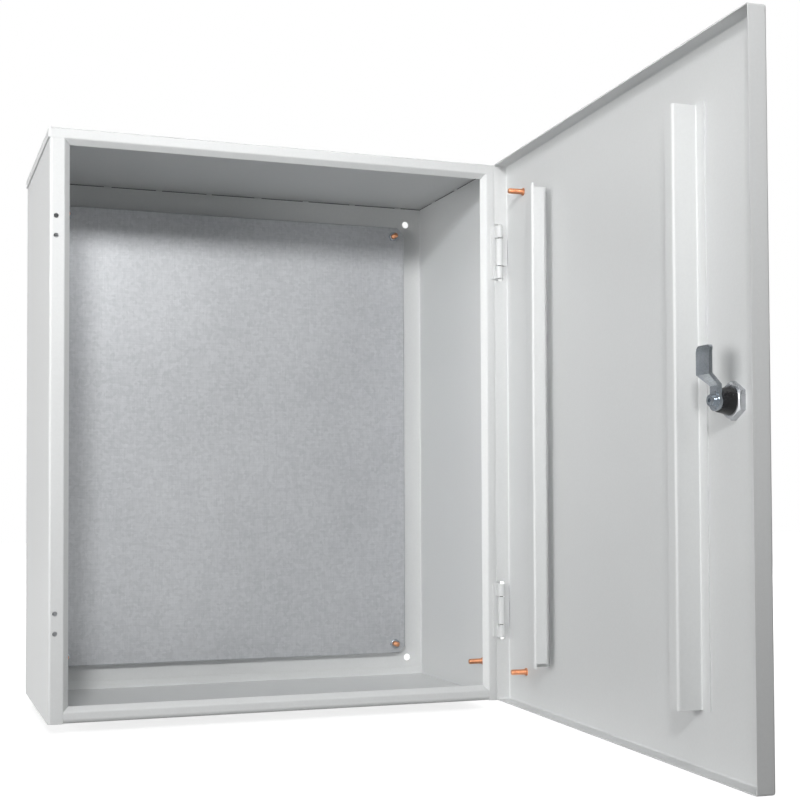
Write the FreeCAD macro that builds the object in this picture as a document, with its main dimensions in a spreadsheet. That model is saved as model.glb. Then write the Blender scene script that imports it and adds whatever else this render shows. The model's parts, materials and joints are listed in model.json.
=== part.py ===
import FreeCAD, Part
import Sketcher
import math
import os
import re

# Wall enclosure of folded sheet steel with a hinged door, a mounting plate and a quarter-turn lock.
# Frame: X to the right, Y into the wall, Z up, millimetres. The origin is the centre of the four
# wall holes, on the outer face of the back. The door stands open at door_open degrees.

# Sizes that are set by themselves
GIVEN = {
    # whole cabinet
    "body_width": 500,
    "body_height": 600,
    "body_depth": 232,
    "sheet": 1.2,
    "seam": 0.1,
    "bend": 2.4,
    "front_bend": 3.0,
    # rim round the opening
    "rim_width": 16.4,
    "bevel": 5.5,
    "roof_rim": 10.6,
    "floor_rim": 11.2,
    "floor_bend": 5,
    "roof_gap": 1.0,
    "upstand": 10.4,
    # holes in the folded shell
    "wall_hole": 8.5,
    "wall_inset": 22.5,
    "hinge_hole": 5,
    "hinge_hole_inset": 8,
    "hinge_hole_step": 20,
    # weld marks
    "spot_size": 4.5,
    "spot_depth": 0.3,
    "spot_height": 7.6,
    "spot_inset": 50,
    "spot_count": 9,
    "tack_length": 9,
    "tack_inset": 33,
    "tack_count": 8,
    "side_tack_inset": 46.5,
    "side_tack_count": 3,
    "seam_weld": 0.4,
    # mounting plate
    "plate_side_gap": 30,
    "plate_end_gap": 30,
    "plate_sheet": 2,
    "plate_front": 14.5,
    "plate_corner": 9,
    "plate_bend": 1.6,
    "stud_inset_x": 15,
    "stud_inset_z": 12,
    "stud_size": 6,
    "stud_length": 25.4,
    "stud_hole": 7,
    "nut_flats": 10,
    "nut_thick": 5,
    "thread_fit": 0.03,
    # earth studs
    "earth_size": 6,
    "earth_length": 17.5,
    "earth_inset_y": 46,
    "earth_inset_z": 38,
    "earth_collar": 8.4,
    "earth_collar_thick": 0.8,
    # door
    "door_open": 87,
    "door_edge": 1,
    "door_gap": 1.5,
    "door_depth": 16.5,
    "door_corner": 2.4,
    # hinges
    "hinge_inset": 4,
    "hinge_forward": 6.5,
    "hinge_end": 100,
    "barrel": 8,
    "hinge_height": 59,
    "door_knuckle": 30,
    "knuckle_gap": 1,
    "pin_size": 4,
    "pin_fit": 0.06,
    "pin_press": 0.01,
    "base_thick": 1.6,
    "base_skin": 0.4,
    "base_width": 8.5,
    "base_outset": 1,
    "web_width": 4.5,
    "leaf_thick": 1.8,
    "notch_depth": 9.4,
    "notch_margin": 2.5,
    "notch_corner": 2,
    "screw_head": 8,
    "screw_head_thick": 3,
    # door ribs
    "rib_end": 50,
    "rib_base": 12,
    "rib_top": 14.5,
    "rib_rise": 23.5,
    "rib_lip": 14,
    "rib_lip_cut": 5,
    "lock_rib_inset": 86,
    "hinge_rib_place": 90.5,
    "door_stud_inset": 43,
    "upper_stud_end": 41,
    "lower_stud_end": 37,
    # lock
    "lock_inset": 46,
    "lock_hole": 22.5,
    "lock_body": 22,
    "lock_head": 28,
    "lock_head_thick": 3,
    "lock_nut_flats": 27,
    "lock_nut_thick": 6,
    "sleeve_wide": 23,
    "sleeve_narrow": 18.5,
    "sleeve_length": 10,
    "core_size": 14,
    "core_head": 18,
    "core_head_thick": 2,
    "core_fit": 0.05,
    "key_depth": 8,
    "key_pin": 3,
    "key_hole": 6.6,
    "key_slot_width": 3,
    "key_slot_length": 10.4,
    "drive_square": 8,
    "drive_fit": 0.05,
    # cam lever
    "cam_gap": 0.3,
    "cam_thick": 3,
    "cam_rise": 10.2,
    "cam_reach": 43,
    "cam_heel": 8.3,
    "cam_waist": 12.6,
    "cam_blade": 19,
    "cam_bend_start": 12.5,
    "cam_bend_end": 21,
    "cam_tip": 5,
    "cam_tip_drop": 0.8,
    "cam_tip_corner": 3,
    "cam_washer": 14,
    "cam_washer_thick": 1.2,
    "cam_screw": 5,
    "cam_screw_head": 8.6,
    "cam_screw_head_thick": 3.2,
    "cam_screw_length": 11,
}

# Sizes that follow from others
DERIVED = {
    "half_width": "body_width / 2",
    "half_height": "body_height / 2",
    "wrap_half": "body_width / 2 - sheet - seam",
    "rim_inner": "body_width / 2 - rim_width",
    "inner_bend": "bend - sheet",
    "bevel_step": "sheet / sqrt(2)",
    "bevel_root": "sheet * (sqrt(2) - 1)",
    "wall_top": "body_height / 2 - sheet - roof_gap",
    "spot_step": "(body_width - 2 * spot_inset) / (spot_count - 1)",
    "tack_step": "(body_width - 2 * tack_inset) / (tack_count - 1)",
    "side_tack_step": "(body_depth - 2 * side_tack_inset) / (side_tack_count - 1)",
    "plate_width": "body_width - 2 * plate_side_gap",
    "plate_height": "body_height - 2 * plate_end_gap",
    "stud_step_x": "body_width - 2 * plate_side_gap - 2 * stud_inset_x",
    "stud_step_z": "body_height - 2 * plate_end_gap - 2 * stud_inset_z",
    "earth_place_y": "body_depth - earth_inset_y",
    "earth_place_z": "body_height / 2 - earth_inset_z",
    "hinge_step": "body_height - 2 * hinge_end",
    "hinge_x": "body_width / 2 - hinge_inset",
    "hinge_y": "0 - body_depth - hinge_forward",
    "door_near": "hinge_inset - door_edge",
    "door_far": "body_width - 2 * door_edge - door_near",
    "door_back": "hinge_forward - door_gap",
    "door_face": "door_depth - door_back",
    "door_inner": "door_face - sheet",
    "door_half": "body_height / 2 - door_edge",
    "notch_height": "hinge_height + 2 * notch_margin",
    "rib_length": "body_height - 2 * rib_end",
    "lock_rib_place": "door_far - lock_rib_inset",
    "lock_x": "lock_inset - door_far",
    "nut_end": "lock_nut_thick - door_inner",
    "sleeve_end": "nut_end + sleeve_length",
    "cam_low": "sleeve_end + cam_gap",
    "cam_top": "cam_low + cam_thick",
    "cam_high": "cam_low + cam_rise",
}

TOLERANCE = 1e-3
Vector = FreeCAD.Vector
Rotation = FreeCAD.Rotation

# Turns that point a cylinder along an axis
ALONG = {
    "z": Rotation(),
    "-z": Rotation(Vector(1, 0, 0), 180),
    "y": Rotation(Vector(1, 0, 0), -90),
    "-y": Rotation(Vector(1, 0, 0), 90),
    "x": Rotation(Vector(0, 1, 0), 90),
    "-x": Rotation(Vector(0, 1, 0), -90),
}

doc = FreeCAD.newDocument("cabinet")
sheet = doc.addObject("Spreadsheet::Sheet", "Sizes")
nodes = []


def fill_sheet():
    """Write every size into the sheet, one row each, with its name as alias."""
    for row, (name, value) in enumerate(list(GIVEN.items()) + list(DERIVED.items()), start=1):
        text = str(value) if name in GIVEN else "=" + value
        sheet.set("A%d" % row, name)
        sheet.set("B%d" % row, text)
        sheet.setAlias("B%d" % row, name)
    doc.recompute()


def size(name):
    """Current number of a size."""
    return float(sheet.get(name))


def link(text):
    """Expression text in which each size name points at the sheet."""
    def expand(match):
        word = match.group()
        return "Sizes." + word if word in GIVEN or word in DERIVED else word
    return re.sub(r"[a-z][a-z_]*", expand, str(text))


def bind(obj, **texts):
    """Tie properties of an object to sheet expressions."""
    for name, text in texts.items():
        obj.setExpression(name, link(text))
    return obj


def put(obj, at, turn=None):
    """Place an object at sheet expressions, with a fixed turn."""
    if turn is not None:
        obj.Placement = FreeCAD.Placement(Vector(), turn)
    for axis, text in zip("xyz", at):
        obj.setExpression("Placement.Base." + axis, link(text))
    return obj


def node(obj, name, at=("0", "0", "0"), door=False):
    """Name a finished piece and put it in the cabinet, or on the open door."""
    obj.Label = name
    if door:
        obj.Placement = FreeCAD.Placement(Vector(), Rotation(Vector(0, 0, 1), size("door_open")))
        obj.setExpression("Placement.Rotation.Angle", link("door_open"))
        x, y, z = at
        at = (
            "hinge_x + (%s) * cos(door_open) - (%s) * sin(door_open)" % (x, y),
            "hinge_y + (%s) * sin(door_open) + (%s) * cos(door_open)" % (x, y),
            z,
        )
    put(obj, at)
    nodes.append(obj)
    return obj


# Sketches and features of folded pieces

def new_body(name):
    return doc.addObject("PartDesign::Body", name + "_body")


def new_sketch(body, role, name, offset="0"):
    """Empty sketch on one of the body's own planes, moved along the plane's normal."""
    sketch = body.newObject("Sketcher::SketchObject", name)
    plane = [item for item in body.Origin.OriginFeatures if item.Role == role][0]
    sketch.AttachmentSupport = [(plane, "")]
    sketch.MapMode = "FlatFace"
    sketch.setExpression("AttachmentOffset.Base.z", link(offset))
    return sketch


def tie(sketch, kind, geometry, point, text, start):
    """Hold one coordinate of a sketch point at a sheet expression."""
    index = sketch.addConstraint(Sketcher.Constraint(kind, -1, 1, geometry, point, start))
    sketch.setExpression("Constraints[%d]" % index, link(text))


def add_loop(sketch, corners):
    """Closed line loop through corners, each an (x, y, ...) tuple of expressions."""
    count = len(corners)
    first = sketch.GeometryCount
    points = [Vector(50 * math.cos(2 * math.pi * i / count), 50 * math.sin(2 * math.pi * i / count), 0)
              for i in range(count)]
    for i in range(count):
        sketch.addGeometry(Part.LineSegment(points[i], points[(i + 1) % count]), False)
    for i in range(count):
        sketch.addConstraint(Sketcher.Constraint("Coincident", first + i, 2, first + (i + 1) % count, 1))
    for i, corner in enumerate(corners):
        tie(sketch, "DistanceX", first + i, 1, corner[0], points[i].x)
        tie(sketch, "DistanceY", first + i, 1, corner[1], points[i].y)


def add_circle(sketch, x, y, diameter):
    """Circle whose centre and diameter follow expressions."""
    index = sketch.addGeometry(Part.Circle(Vector(5, 5, 0), Vector(0, 0, 1), 2), False)
    tie(sketch, "DistanceX", index, 3, x, 5)
    tie(sketch, "DistanceY", index, 3, y, 5)
    constraint = sketch.addConstraint(Sketcher.Constraint("Diameter", index, 4))
    sketch.setExpression("Constraints[%d]" % constraint, link(diameter))


def rectangle(x_low, x_high, y_low, y_high):
    return [(x_low, y_low), (x_high, y_low), (x_high, y_high), (x_low, y_high)]


def mirrored(corners):
    """The same loop on the other side of the sketch's upright axis."""
    return [("0 - (%s)" % corner[0],) + tuple(corner[1:]) for corner in reversed(corners)]


def pad(body, sketch, length, both=False, back=False):
    """Pad a sketch along its normal, against it, or to both sides."""
    before = body.Shape.Volume if body.Tip else 0
    feature = body.newObject("PartDesign::Pad", sketch.Name + "_pad")
    feature.Profile = sketch
    bind(feature, Length=length)
    if both:
        feature.SideType = "Symmetric"
    feature.Reversed = back
    doc.recompute()
    if body.Shape.Volume <= before:
        raise ValueError("pad adds nothing: " + sketch.Name)
    return feature


def pocket(body, sketch, length, both=False, back=False):
    """Cut a sketch against its normal, along it, or to both sides."""
    before = body.Shape.Volume
    feature = body.newObject("PartDesign::Pocket", sketch.Name + "_pocket")
    feature.Profile = sketch
    bind(feature, Length=length)
    if both:
        feature.SideType = "Symmetric"
    feature.Reversed = back
    doc.recompute()
    if body.Shape.Volume >= before:
        raise ValueError("pocket cuts nothing: " + sketch.Name)
    return feature


def straight_edges(shape, direction, test):
    """Names of straight edges along a direction whose middle passes the test."""
    names = []
    for index, edge in enumerate(shape.Edges, start=1):
        start, end = edge.Vertexes[0].Point, edge.Vertexes[-1].Point
        span = end - start
        if span.Length < TOLERANCE or edge.Curve.TypeId != "Part::GeomLine":
            continue
        if abs(abs(span.dot(direction)) - span.Length) < TOLERANCE and test((start + end) * 0.5):
            names.append("Edge%d" % index)
    return names


def round_edges(body, direction, test, radius, name):
    """Fillet the chosen edges of a body's newest shape."""
    return round_named(body, straight_edges(body.Tip.Shape, direction, test), radius, name)


def round_named(body, names, radius, name):
    """Fillet edges of a body's newest shape by their names."""
    if not names:
        raise ValueError("no edges to round: " + name)
    base = body.Tip
    feature = body.newObject("PartDesign::Fillet", name)
    feature.Base = (base, names)
    bind(feature, Radius=radius)
    doc.recompute()
    return feature


def round_bends(body, sketch, corners):
    """Round the folds that a padded section marks with a radius as third item."""
    frame = sketch.getGlobalPlacement()
    normal = frame.Rotation.multVec(Vector(0, 0, 1))
    radii = sorted({corner[2] for corner in corners if len(corner) > 2})
    for number, radius in enumerate(radii):
        marks = [frame.multVec(sketch.Geometry[i].StartPoint)
                 for i, corner in enumerate(corners) if len(corner) > 2 and corner[2] == radius]

        def on_mark(middle):
            return any((middle - mark).cross(normal).Length < TOLERANCE for mark in marks)
        round_edges(body, normal, on_mark, radius, "%s_bend_%d" % (sketch.Name, number))


def is_near(value, *targets):
    return any(abs(value - target) < TOLERANCE for target in targets)


# Solids of turned and cast pieces

def box(name, low, spans):
    """Box from its low corner and its three spans."""
    obj = doc.addObject("Part::Box", name)
    bind(obj, Length=spans[0], Width=spans[1], Height=spans[2])
    return put(obj, low)


def cylinder(name, diameter, height, at, along="y"):
    """Cylinder that starts at a point and runs along an axis."""
    obj = doc.addObject("Part::Cylinder", name)
    bind(obj, Radius="(%s) / 2" % diameter, Height=height)
    return put(obj, at, ALONG[along])


def cone(name, wide, narrow, height, at, along="y"):
    """Cone from a wide to a narrow diameter along an axis."""
    obj = doc.addObject("Part::Cone", name)
    bind(obj, Radius1="(%s) / 2" % wide, Radius2="(%s) / 2" % narrow, Height=height)
    return put(obj, at, ALONG[along])


def fuse(name, shapes):
    obj = doc.addObject("Part::MultiFuse", name)
    obj.Shapes = shapes
    return obj


def cut(name, base, tool):
    obj = doc.addObject("Part::Cut", name)
    obj.Base = base
    obj.Tool = tool
    return obj


def common(name, shapes):
    obj = doc.addObject("Part::MultiCommon", name)
    obj.Shapes = shapes
    return obj


def group(name, shapes):
    """Several equal solids in one node."""
    obj = doc.addObject("Part::Compound", name)
    obj.Links = shapes
    return obj


def stud(name, diameter, length, at, along):
    """Weld stud: collar at the root, plain shank and a tapered end."""
    x, y, z = at
    step = {"x": (1, 0), "-x": (-1, 0), "y": (0, 1), "-y": (0, -1)}[along]
    end = (
        "%s + %d * ((%s) - 1)" % (x, step[0], length),
        "%s + %d * ((%s) - 1)" % (y, step[1], length),
        z,
    )
    return fuse(name, [
        cylinder(name + "_collar", diameter + " + earth_collar - earth_size", "earth_collar_thick", at, along),
        cylinder(name + "_shank", diameter, "(%s) - 1" % length, at, along),
        cone(name + "_end", diameter, diameter + " - 1.6", "1", end, along),
    ])


def hex_nut(name, flats, thick, bore, at, along, turn=0):
    """Hexagon nut, its outer corners chamfered by a flat cone."""
    prism = doc.addObject("Part::Prism", name + "_prism")
    prism.Polygon = 6
    bind(prism, Circumradius="(%s) / sqrt(3)" % flats, Height=thick)
    put(prism, at, ALONG[along].multiply(Rotation(Vector(0, 0, 1), turn)))
    crown = cone(name + "_crown", "(%s) * 0.96 + 3.46 * (%s)" % (flats, thick), "(%s) * 0.96" % flats,
                 thick, at, along)
    hole = cylinder(name + "_hole", bore, "(%s) + 2" % thick, at, along)
    shift = {"y": -1, "-y": 1}[along]
    put(hole, (at[0], "%s + %d" % (at[1], shift), at[2]))
    return cut(name, common(name + "_blank", [prism, crown]), hole)


# Pieces of the cabinet body

def shell_section():
    """Back, side walls, side rims and the slanted strips round the opening, seen from above."""
    outer = [
        ("rim_inner - bevel", "0 - body_depth + bevel"),
        ("rim_inner", "0 - body_depth", "bend"),
        ("wrap_half", "0 - body_depth", "front_bend"),
        ("wrap_half", "0", "bend"),
    ]
    inner = [
        ("wrap_half - sheet", "0 - sheet", "inner_bend"),
        ("wrap_half - sheet", "0 - body_depth + sheet", "front_bend - sheet"),
        ("rim_inner + bevel_root", "0 - body_depth + sheet", "inner_bend"),
        ("rim_inner - bevel + bevel_step", "0 - body_depth + bevel + bevel_step"),
    ]
    return outer + mirrored(outer) + mirrored(inner) + inner


def build_folded_shell():
    """Back and sides folded from one sheet, with the rims cut back for roof and floor."""
    body = new_body("folded_shell")
    section = shell_section()
    sketch = new_sketch(body, "XY_Plane", "shell_section", "0 - half_height")
    add_loop(sketch, section)
    pad(body, sketch, "wall_top + half_height")
    round_bends(body, sketch, section)

    top = [
        ("wrap_half + 1", "half_height - roof_rim - seam"),
        ("wrap_half + 1", "half_height"),
        ("rim_inner - 8", "half_height"),
        ("rim_inner - 8", "half_height - roof_rim - seam - 8"),
        ("rim_inner", "half_height - roof_rim - seam"),
    ]
    bottom = [
        ("rim_inner", "0 - half_height - 1"),
        ("rim_inner", "0 - half_height + floor_rim + seam"),
        ("rim_inner - 8", "0 - half_height + floor_rim + seam + 8"),
        ("rim_inner - 8", "0 - half_height - 1"),
    ]
    ends = new_sketch(body, "XZ_Plane", "shell_rim_ends", "body_depth + 1")
    for corners in (top, bottom):
        add_loop(ends, corners)
        add_loop(ends, mirrored(corners))
    pocket(body, ends, "1 + bevel + 2 * sheet")

    back = new_sketch(body, "XZ_Plane", "shell_back_holes")
    for side in ("", "0 - "):
        for level in ("", "0 - "):
            add_circle(back, side + "(half_width - wall_inset)", level + "(half_height - wall_inset)", "wall_hole")
    pocket(body, back, "4 * sheet", both=True)

    front = new_sketch(body, "XZ_Plane", "shell_rim_holes", "body_depth")
    for side in ("", "0 - "):
        for level in ("", "0 - "):
            for step in ("+", "-"):
                add_circle(front, side + "(half_width - hinge_hole_inset)",
                           "%s hinge_step / 2 %s hinge_hole_step / 2" % (level, step), "hinge_hole")
    pocket(body, front, "4 * sheet", both=True)
    return node(body, "folded_shell")


def build_roof():
    """Roof cap: front rim with its slanted strip, and lips that lie outside the side walls."""
    body = new_body("roof_panel")
    section = [
        ("0 - body_depth + bevel", "half_height - roof_rim - bevel"),
        ("0 - body_depth", "half_height - roof_rim", "bend"),
        ("0 - body_depth", "half_height"),
        ("0", "half_height"),
        ("0", "half_height - sheet"),
        ("0 - body_depth + sheet", "half_height - sheet", "inner_bend"),
        ("0 - body_depth + sheet", "half_height - roof_rim + bevel_root", "inner_bend"),
        ("0 - body_depth + bevel + bevel_step", "half_height - roof_rim - bevel + bevel_step"),
    ]
    sketch = new_sketch(body, "YZ_Plane", "roof_section")
    add_loop(sketch, section)
    pad(body, sketch, "body_width", both=True)
    round_bends(body, sketch, section)

    strip = [
        ("rim_inner - seam", "half_height - roof_rim"),
        ("rim_inner - seam - 8", "half_height - roof_rim - 8"),
        ("half_width + 1", "half_height - roof_rim - 8"),
        ("half_width + 1", "half_height - roof_rim + bend / 2"),
        ("rim_inner - seam", "half_height - roof_rim + bend / 2"),
    ]
    ends = new_sketch(body, "XZ_Plane", "roof_strip_ends", "body_depth + 1")
    add_loop(ends, strip)
    add_loop(ends, mirrored(strip))
    pocket(body, ends, "1 + bevel + 2 * sheet")

    rim = rectangle("rim_inner - seam", "half_width", "half_height - roof_rim", "half_height - sheet")
    rims = new_sketch(body, "XZ_Plane", "roof_rim_ends", "body_depth - sheet")
    add_loop(rims, rim)
    add_loop(rims, mirrored(rim))
    pad(body, rims, "sheet")

    lip = rectangle("half_width - sheet", "half_width", "half_height - roof_rim", "half_height - sheet / 2")
    lips = new_sketch(body, "XZ_Plane", "roof_lips")
    add_loop(lips, lip)
    add_loop(lips, mirrored(lip))
    pad(body, lips, "body_depth")

    half, top, front = size("half_width"), size("half_height"), -size("body_depth")
    names = straight_edges(body.Tip.Shape, Vector(0, 1, 0), lambda p: is_near(abs(p.x), half) and is_near(p.z, top))
    names += straight_edges(body.Tip.Shape, Vector(1, 0, 0), lambda p: is_near(p.y, front) and is_near(p.z, top))
    names += straight_edges(body.Tip.Shape, Vector(0, 0, 1), lambda p: is_near(p.y, front) and is_near(abs(p.x), half))
    round_named(body, names, "bend", "roof_outer_bends")
    return node(body, "roof_panel")


def build_floor():
    """Floor tray between the walls: front rim, slanted strip and a spot-welded rear upstand."""
    body = new_body("floor_panel")
    section = [
        ("0 - body_depth + bevel", "0 - half_height + floor_rim + bevel"),
        ("0 - body_depth", "0 - half_height + floor_rim", "bend"),
        ("0 - body_depth", "0 - half_height", "floor_bend"),
        ("0 - sheet - seam", "0 - half_height", "bend"),
        ("0 - sheet - seam", "0 - half_height + upstand"),
        ("0 - 2 * sheet - seam", "0 - half_height + upstand"),
        ("0 - 2 * sheet - seam", "0 - half_height + sheet", "inner_bend"),
        ("0 - body_depth + sheet", "0 - half_height + sheet", "floor_bend - sheet"),
        ("0 - body_depth + sheet", "0 - half_height + floor_rim - bevel_root", "inner_bend"),
        ("0 - body_depth + bevel + bevel_step", "0 - half_height + floor_rim + bevel - bevel_step"),
    ]
    sketch = new_sketch(body, "YZ_Plane", "floor_section")
    add_loop(sketch, section)
    pad(body, sketch, "2 * (wrap_half - sheet - seam)", both=True)
    round_bends(body, sketch, section)

    corner = rectangle("rim_inner - seam", "half_width", "0 - half_height - 1", "0 - half_height + floor_rim + 8")
    corners = new_sketch(body, "XZ_Plane", "floor_corners", "body_depth + 1")
    add_loop(corners, corner)
    add_loop(corners, mirrored(corner))
    pocket(body, corners, "1 + front_bend")

    strip = [
        ("rim_inner - seam", "0 - half_height + floor_rim"),
        ("half_width", "0 - half_height + floor_rim"),
        ("half_width", "0 - half_height + floor_rim + 8"),
        ("rim_inner - seam - 8", "0 - half_height + floor_rim + 8"),
    ]
    ends = new_sketch(body, "XZ_Plane", "floor_strip_ends", "body_depth + 1")
    add_loop(ends, strip)
    add_loop(ends, mirrored(strip))
    pocket(body, ends, "1 + bevel + 2 * sheet")

    rear = rectangle("wrap_half - sheet - inner_bend", "half_width", "0 - sheet - inner_bend", "1")
    rears = new_sketch(body, "XY_Plane", "floor_rear_corners", "0 - half_height - 1")
    add_loop(rears, rear)
    add_loop(rears, mirrored(rear))
    pocket(body, rears, "upstand + 2", back=True)

    spots = new_sketch(body, "XZ_Plane", "floor_spots", "2 * sheet + seam")
    add_circle(spots, "0 - spot_step * (spot_count - 1) / 2", "0 - half_height + spot_height", "spot_size")
    first = pocket(body, spots, "spot_depth")
    row = body.newObject("PartDesign::LinearPattern", "floor_spot_row")
    row.Originals = [first]
    row.Direction = (spots, ["H_Axis"])
    bind(row, Length="spot_step * (spot_count - 1)", Occurrences="spot_count")
    body.Tip = row
    doc.recompute()
    return node(body, "floor_panel")


def build_roof_tacks():
    """Short welds between the roof and the edges of back and sides, and the weld that closes the back."""
    tacks = []
    for number in range(int(size("tack_count"))):
        x = "tack_inset - half_width + %d * tack_step - tack_length / 2" % number
        tacks.append(box("back_tack_%d" % number, (x, "0 - sheet", "wall_top"),
                         ("tack_length", "sheet - seam_weld", "roof_gap")))
    for side, low in (("left", "0 - wrap_half"), ("right", "wrap_half - sheet")):
        for number in range(int(size("side_tack_count"))):
            y = "0 - side_tack_inset - %d * side_tack_step - tack_length / 2" % number
            tacks.append(box("%s_tack_%d" % (side, number), (low, y, "wall_top"), ("sheet", "tack_length", "roof_gap")))
    tacks.append(box("back_seam_weld", ("bend - wrap_half", "0 - seam_weld", "wall_top"),
                     ("2 * (wrap_half - bend)", "seam_weld", "roof_gap")))
    return node(group("roof_tack_welds", tacks), "roof_tack_welds")


def build_mounting_plate():
    """Plate with four edges folded back and cut corners; its front face is at local Y = 0."""
    body = new_body("mounting_plate")
    across, up = "plate_width / 2", "plate_height / 2"
    outline = [
        (across, "0 - %s + plate_corner" % up),
        (across, "%s - plate_corner" % up),
        ("%s - plate_corner" % across, up),
        ("0 - %s + plate_corner" % across, up),
        ("0 - " + across, "%s - plate_corner" % up),
        ("0 - " + across, "0 - %s + plate_corner" % up),
        ("0 - %s + plate_corner" % across, "0 - " + up),
        ("%s - plate_corner" % across, "0 - " + up),
    ]
    sketch = new_sketch(body, "XZ_Plane", "plate_outline")
    add_loop(sketch, outline)
    pad(body, sketch, "plate_sheet", back=True)

    folds = new_sketch(body, "XZ_Plane", "plate_folds")
    upright = rectangle("%s - plate_sheet" % across, across, "0 - %s + plate_corner" % up, "%s - plate_corner" % up)
    level = rectangle("0 - %s + plate_corner" % across, "%s - plate_corner" % across, "%s - plate_sheet" % up, up)
    add_loop(folds, upright)
    add_loop(folds, mirrored(upright))
    add_loop(folds, level)
    add_loop(folds, [(corner[0], "0 - (%s)" % corner[1]) for corner in reversed(level)])
    pad(body, folds, "plate_front - sheet - seam", back=True)

    half_x, half_z = size("plate_width") / 2, size("plate_height") / 2
    names = straight_edges(body.Tip.Shape, Vector(0, 0, 1), lambda p: is_near(p.y, 0) and is_near(abs(p.x), half_x))
    names += straight_edges(body.Tip.Shape, Vector(1, 0, 0), lambda p: is_near(p.y, 0) and is_near(abs(p.z), half_z))
    round_named(body, names, "plate_bend", "plate_outer_bends")

    holes = new_sketch(body, "XZ_Plane", "plate_holes")
    for side in ("", "0 - "):
        for level in ("", "0 - "):
            add_circle(holes, side + "stud_step_x / 2", level + "stud_step_z / 2", "stud_hole")
    pocket(body, holes, "4 * plate_sheet", both=True)
    return node(body, "mounting_plate", ("0", "0 - plate_front", "0"))


def plate_places():
    """Number, X and Z of the four fixing points of the mounting plate."""
    number = 0
    for side in ("", "0 - "):
        for level in ("", "0 - "):
            yield number, side + "stud_step_x / 2", level + "stud_step_z / 2"
            number += 1


def build_plate_fixings():
    """Four weld studs on the back, with a nut each in front of the plate."""
    studs, nuts = [], []
    for number, x, z in plate_places():
        studs.append(stud("plate_stud_%d" % number, "stud_size", "stud_length", (x, "0 - sheet", z), "-y"))
        nuts.append(hex_nut("plate_nut_%d" % number, "nut_flats", "nut_thick", "stud_size + 2 * thread_fit",
                            (x, "0 - plate_front", z), "-y", 12 * number))
    node(group("plate_studs", studs), "plate_studs")
    node(group("plate_nuts", nuts), "plate_nuts")


def build_body_earth_stud():
    """Earth stud welded to the inner face of the right wall, near the floor."""
    piece = stud("body_earth", "earth_size", "earth_length", ("0", "0", "0"), "-x")
    node(piece, "body_earth_stud", ("wrap_half - sheet", "0 - earth_place_y", "0 - earth_place_z"))


# Hinges

def build_body_leaf(name, level):
    """Fixed hinge leaf: base strip on the rim, two knuckles on webs, a gap for the door's knuckle."""
    half = "hinge_height / 2"
    reach = "hinge_forward"
    barrel = cylinder(name + "_barrel", "barrel", "hinge_height", ("0", "0", "0 - " + half), "z")
    web = box(name + "_web", ("base_outset - web_width", "0", "0 - " + half), ("web_width", reach, "hinge_height"))
    gap = box(name + "_gap", ("0 - barrel", "0 - barrel", "0 - door_knuckle / 2 - knuckle_gap"),
              ("2 * barrel", "barrel + hinge_forward - base_thick", "door_knuckle + 2 * knuckle_gap"))
    base = box(name + "_base", ("base_outset - base_width", "hinge_forward - base_thick", "0 - " + half),
               ("base_width", "base_thick", "hinge_height"))
    blank = fuse(name + "_blank", [cut(name + "_knuckles", fuse(name + "_bar", [barrel, web]), gap), base])
    tools = [cylinder(name + "_pin_hole", "pin_size + 2 * pin_press", "hinge_height + 2",
                      ("0", "0", "0 - %s - 1" % half), "z")]
    for end, step in (("high", "+"), ("low", "-")):
        mouth = ("hinge_inset - hinge_hole_inset", "hinge_forward", "0 %s hinge_hole_step / 2" % step)
        tools.append(cylinder("%s_thread_%s" % (name, end), "hinge_hole - 0.2 + 2 * thread_fit",
                              "base_thick - base_skin", mouth, "-y"))
    node(cut(name, blank, fuse(name + "_tools", tools)), name, ("hinge_x", "hinge_y", level))


def build_door_leaf(name, level):
    """Moving hinge leaf: one knuckle, and a plate along the door's return, clear of its inner bend."""
    half = "door_knuckle / 2"
    barrel = cylinder(name + "_barrel", "barrel", "door_knuckle", ("0", "0", "0 - " + half), "z")
    root = "door_inner - (door_corner - sheet)"
    plate = box(name + "_plate", ("door_near - sheet - seam / 2 - leaf_thick", "0 - (%s)" % root, "0 - " + half),
                ("leaf_thick", root, "door_knuckle"))
    hole = cylinder(name + "_pin_hole", "pin_size + 2 * pin_fit", "door_knuckle + 2", ("0", "0", "0 - %s - 1" % half), "z")
    node(cut(name, fuse(name + "_blank", [barrel, plate]), hole), name, ("0", "0", level), door=True)


def build_hinge_pin(name, level):
    """Plain pin, pressed into the fixed knuckles, with slightly tapered ends."""
    long = "hinge_height - 1.2"
    shank = cylinder(name + "_shank", "pin_size", long, ("0", "0", "0 - (%s) / 2" % long), "z")
    low = cone(name + "_low", "pin_size", "pin_size - 0.8", "0.6", ("0", "0", "0 - (%s) / 2" % long), "-z")
    high = cone(name + "_high", "pin_size", "pin_size - 0.8", "0.6", ("0", "0", "(%s) / 2" % long), "z")
    node(fuse(name, [shank, low, high]), name, ("hinge_x", "hinge_y", level))


def build_hinge_screws(name, level):
    """Two screws, put in from behind the rim into the base strip."""
    screws = []
    for number, step in enumerate(("+", "-")):
        z = "0 %s hinge_hole_step / 2" % step
        under = ("0", "sheet", z)
        head = cylinder("%s_head_%d" % (name, number), "screw_head", "screw_head_thick", under, "y")
        shank = cylinder("%s_shank_%d" % (name, number), "hinge_hole - 0.2",
                         "sheet + base_thick - base_skin - 0.1", under, "-y")
        screws.append(fuse("%s_%d" % (name, number), [head, shank]))
    node(group(name, screws), name, ("half_width - hinge_hole_inset", "0 - body_depth", level))


# Pieces of the door; the local origin lies on the hinge axis, the door's face looks along -Y

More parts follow.
